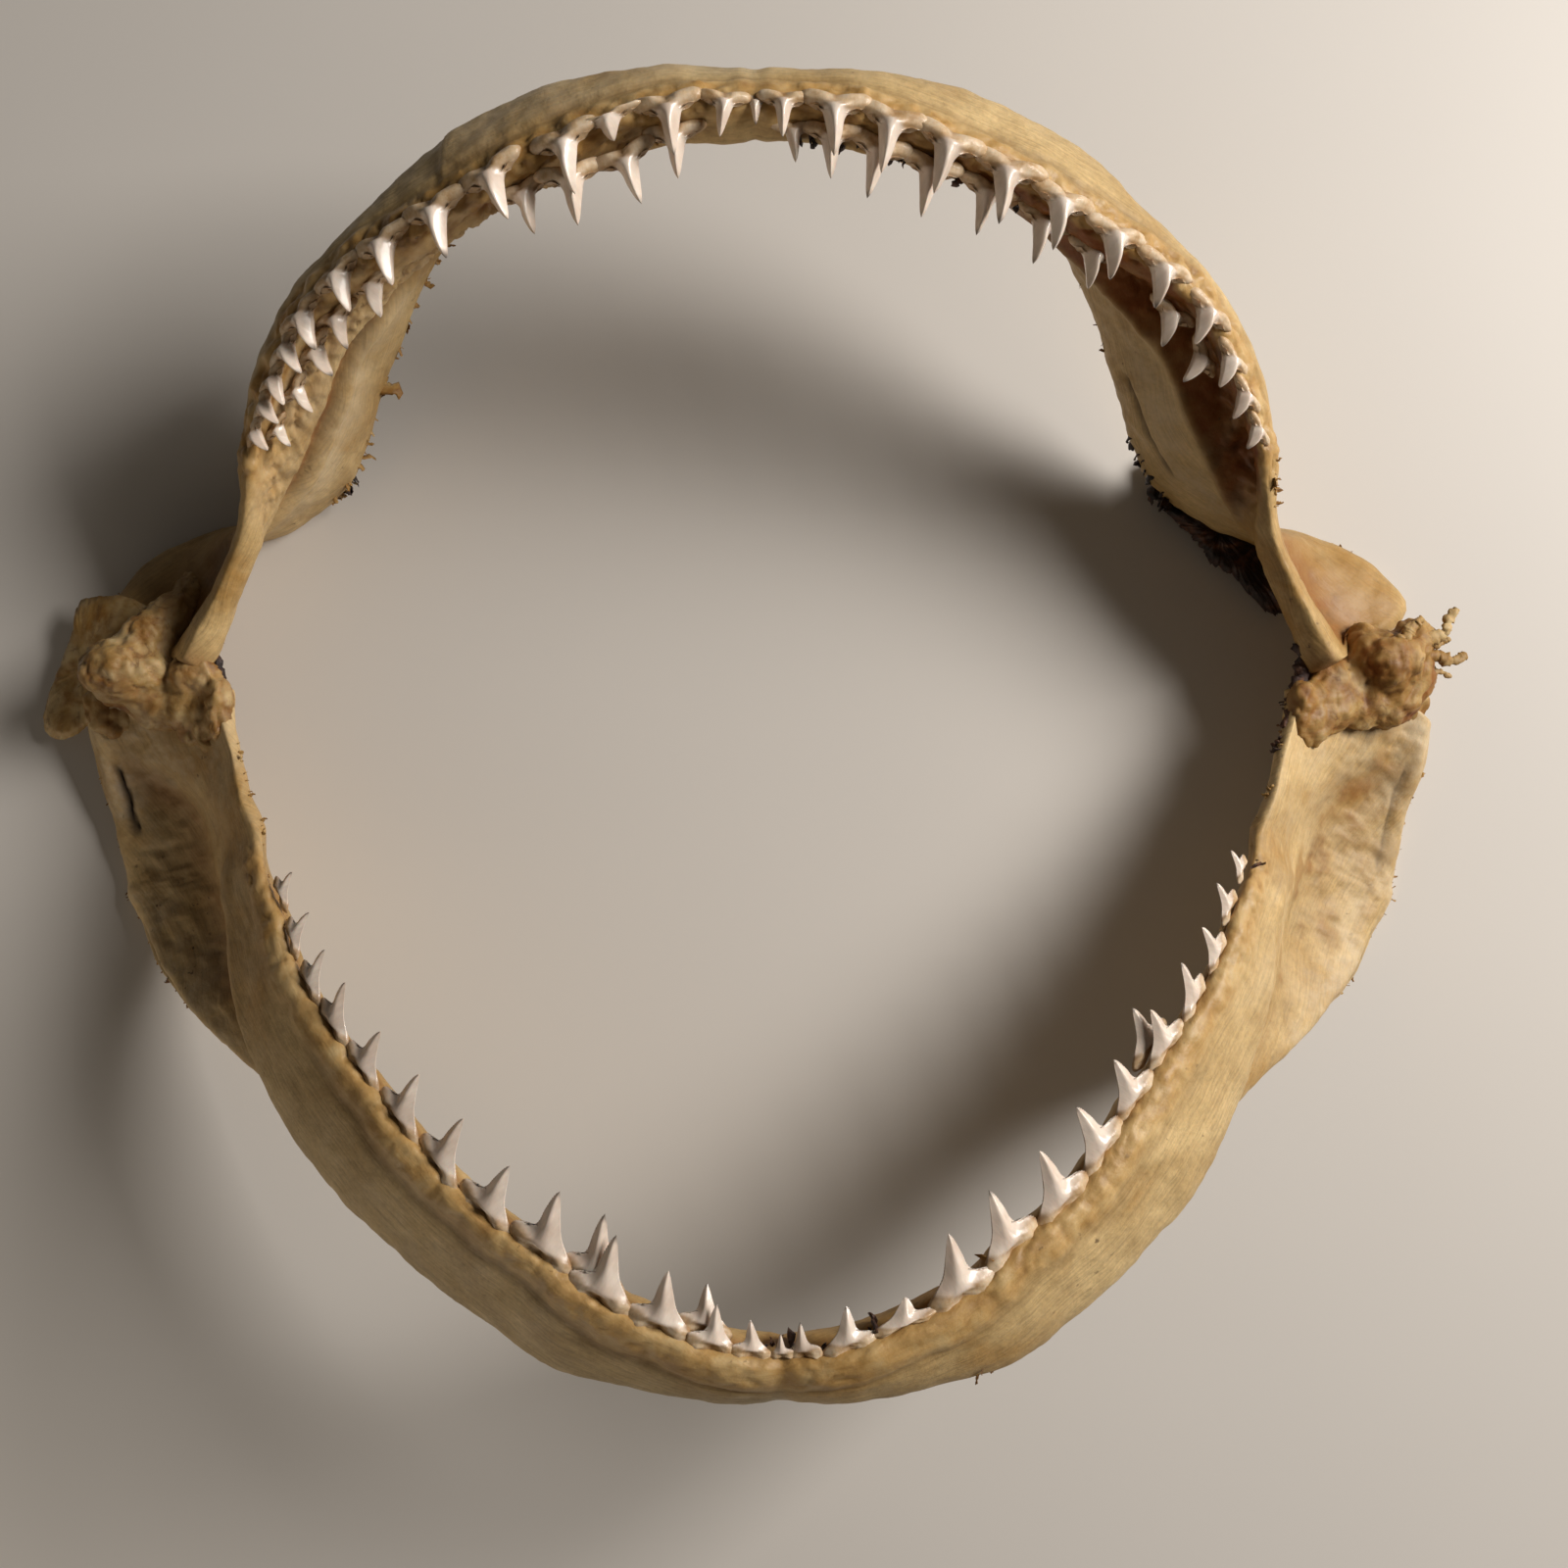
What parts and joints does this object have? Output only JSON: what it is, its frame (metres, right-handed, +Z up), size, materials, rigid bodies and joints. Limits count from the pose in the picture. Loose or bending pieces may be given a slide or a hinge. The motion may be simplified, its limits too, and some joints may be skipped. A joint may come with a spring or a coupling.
{
  "type": "shark jaw",
  "caption": "Dried jaws of a requiem shark, lying on their back with the mouth stretched open and both rows of teeth in place.",
  "frame": {"origin": "on the floor, under the middle of the jaw's bounding box", "axes": "+X across the jaw towards its right joint as seen from above, +Y from the upper jaw to the lower jaw, +Z up out of the open mouth"},
  "size_m": [0.3516, 0.2789, 0.0949],
  "materials": {
    "cartilage": "dried calcified cartilage, satin, with fibre streaks along its length",
    "tooth": "glossy ivory enamel over a duller pink-cream root",
    "ligament": "dried amber gum and ligament, slightly glossy",
    "dried_muscle": "red-brown to black dried muscle, rough"
  },
  "bodies": {
    "root": {"lower_jaw_left": "cartilage", "lower_jaw_right": "cartilage", "lower_symphysis": "ligament", "upper_jaw_left": "cartilage", "upper_jaw_right": "cartilage", "upper_symphysis": "ligament", "joint_capsule_left": "ligament", "joint_capsule_right": "ligament", "ligament_flap_left": "ligament", "dried_muscle_right": "dried_muscle"}
  },
  "joints": []
}
